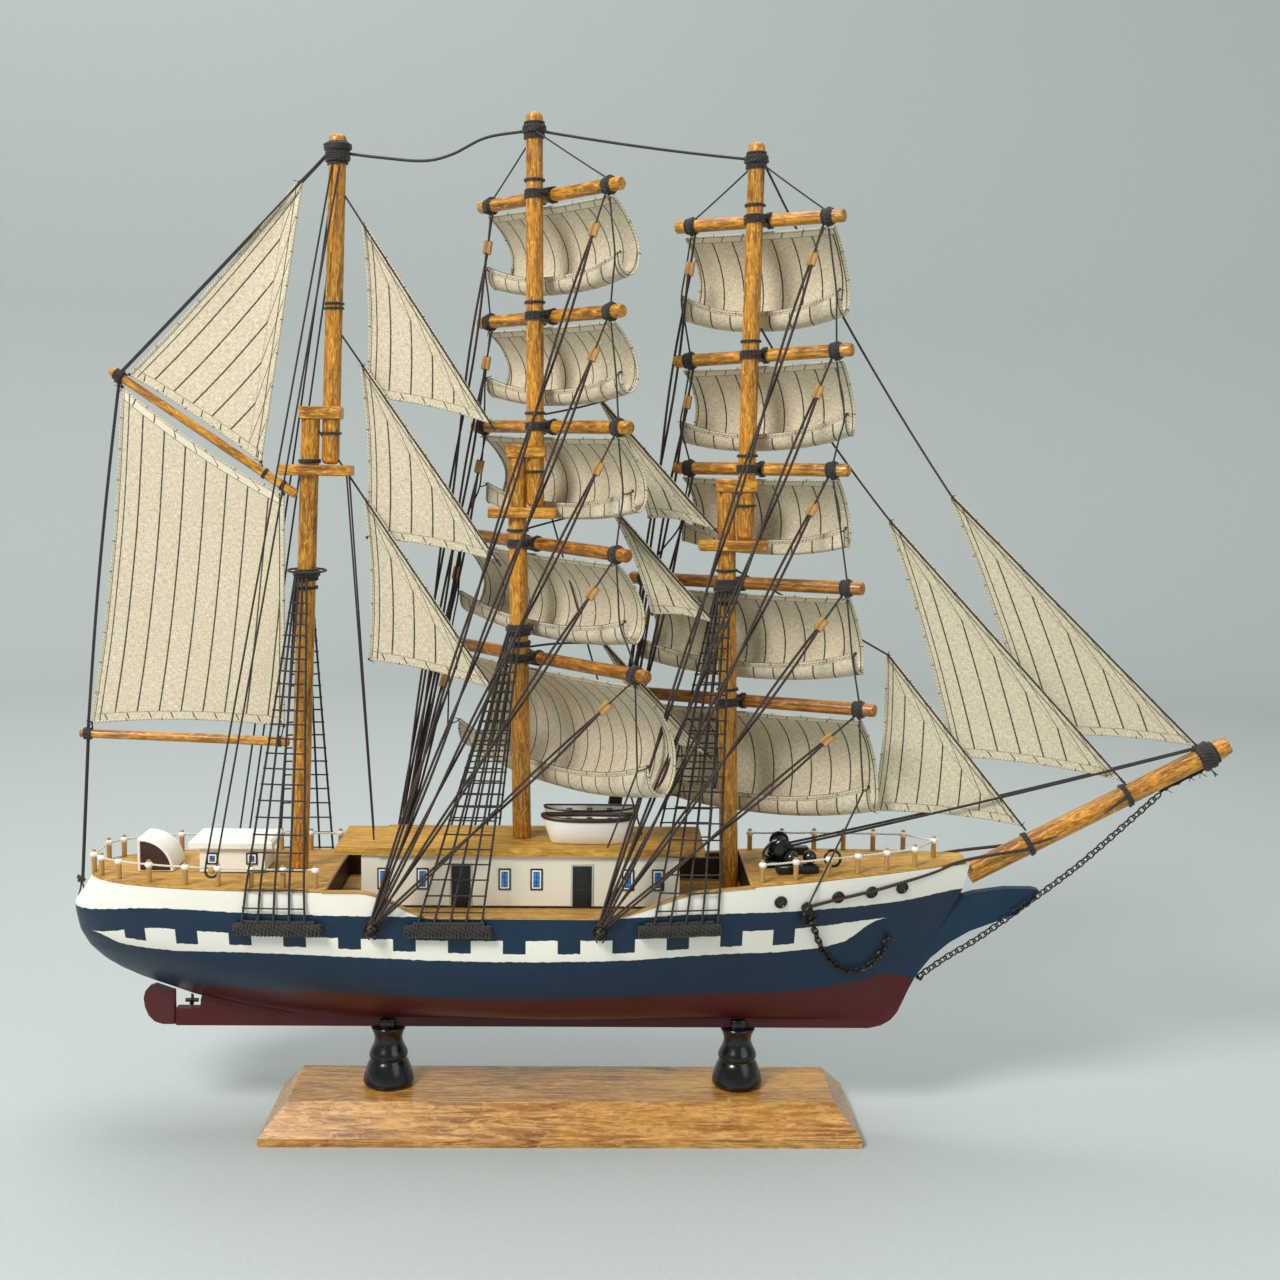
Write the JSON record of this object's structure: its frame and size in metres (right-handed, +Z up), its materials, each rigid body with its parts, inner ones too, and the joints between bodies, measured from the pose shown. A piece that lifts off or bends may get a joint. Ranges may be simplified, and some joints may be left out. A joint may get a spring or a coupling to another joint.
{
  "type": "model sailing ship",
  "caption": "Wooden model of a three-masted sailing ship with linen sails and yards that swing, lifting off a bevelled stand with two turned posts.",
  "frame": {"origin": "centre of the underside of the wooden base", "axes": "+X towards the bow, +Y to port, +Z up along the masts"},
  "size_m": [0.5086, 0.1249, 0.4395],
  "materials": {
    "varnished_wood": "clear varnish",
    "black_gloss": "black gloss paint on turned wood",
    "hull_paint": "navy paint with a white band and white bulwark",
    "bottom_paint": "dark red paint",
    "deck_wood": "oiled",
    "roof_wood": "clear varnish",
    "white_paint": "white paint",
    "dark_metal": "black",
    "rail_wood": "oiled, with a white cord",
    "linen": "striped linen weave"
  },
  "bodies": {
    "stand": {"stand_base": "varnished_wood", "stand_post_aft": "black_gloss", "stand_post_fore": "black_gloss"},
    "ship": {"hull": "hull_paint", "keel": "bottom_paint", "quarterdeck": "deck_wood", "waist_deck": "deck_wood", "forecastle_deck": "deck_wood", "deckhouse": "white_paint", "deckhouse_roof": "roof_wood", "aft_cabin": "white_paint", "steering_gear_box": "white_paint", "lifeboat_starboard": "white_paint", "lifeboat_port": "white_paint", "windlass": "dark_metal", "quarterdeck_rail": "rail_wood", "forecastle_rail": "rail_wood", "bowsprit": "varnished_wood", "mizzen_lower_mast": "varnished_wood", "mizzen_topmast": "varnished_wood", "main_lower_mast": "varnished_wood", "main_topmast": "varnished_wood", "fore_lower_mast": "varnished_wood", "fore_topmast": "varnished_wood", "mizzen_upper_staysail": "linen", "mizzen_middle_staysail": "linen", "mizzen_lower_staysail": "linen", "main_upper_staysail": "linen", "main_middle_staysail": "linen", "main_lower_staysail": "linen", "outer_jib": "linen", "inner_jib": "linen", "fore_topmast_staysail": "linen"},
    "rudder_blade": {"rudder": "bottom_paint"},
    "screw": {"propeller": "dark_metal"},
    "main_yards": {"main_royal_yard": "varnished_wood", "main_royal_sail": "linen", "main_topgallant_yard": "varnished_wood", "main_topgallant_sail": "linen", "main_upper_topsail_yard": "varnished_wood", "main_upper_topsail_sail": "linen", "main_lower_topsail_yard": "varnished_wood", "main_lower_topsail_sail": "linen", "main_course_yard": "varnished_wood", "main_course_sail": "linen"},
    "fore_yards": {"fore_royal_yard": "varnished_wood", "fore_royal_sail": "linen", "fore_topgallant_yard": "varnished_wood", "fore_topgallant_sail": "linen", "fore_upper_topsail_yard": "varnished_wood", "fore_upper_topsail_sail": "linen", "fore_lower_topsail_yard": "varnished_wood", "fore_lower_topsail_sail": "linen", "fore_course_yard": "varnished_wood", "fore_course_sail": "linen"},
    "spanker": {"spanker_boom": "varnished_wood", "spanker_gaff": "varnished_wood", "spanker_sail": "linen", "gaff_topsail": "linen"}
  },
  "joints": [
    {"name": "ship_lift", "type": "slide", "parent": "stand", "child": "ship", "axis": [0, 0, 1], "range_m": [0, 0.025]},
    {"name": "rudder_turn", "type": "hinge", "parent": "ship", "child": "rudder_blade", "pos_m": [-0.173, 0, 0.052], "axis": [0, 0, 1], "range_deg": [-30, 30]},
    {"name": "propeller_spin", "type": "hinge", "parent": "ship", "child": "screw", "pos_m": [-0.1646, 0, 0.0543], "axis": [1, 0, 0], "continuous": true},
    {"name": "main_yards_brace", "type": "hinge", "parent": "ship", "child": "main_yards", "pos_m": [-0.0183, 0, 0.3], "axis": [0, 0, 1], "range_deg": [-4, 4]},
    {"name": "fore_yards_brace", "type": "hinge", "parent": "ship", "child": "fore_yards", "pos_m": [0.0738, 0, 0.3], "axis": [0, 0, 1], "range_deg": [-4, 4]},
    {"name": "spanker_swing", "type": "hinge", "parent": "ship", "child": "spanker", "pos_m": [-0.1132, 0, 0.22], "axis": [0, 0, 1], "range_deg": [-8, 8]}
  ]
}
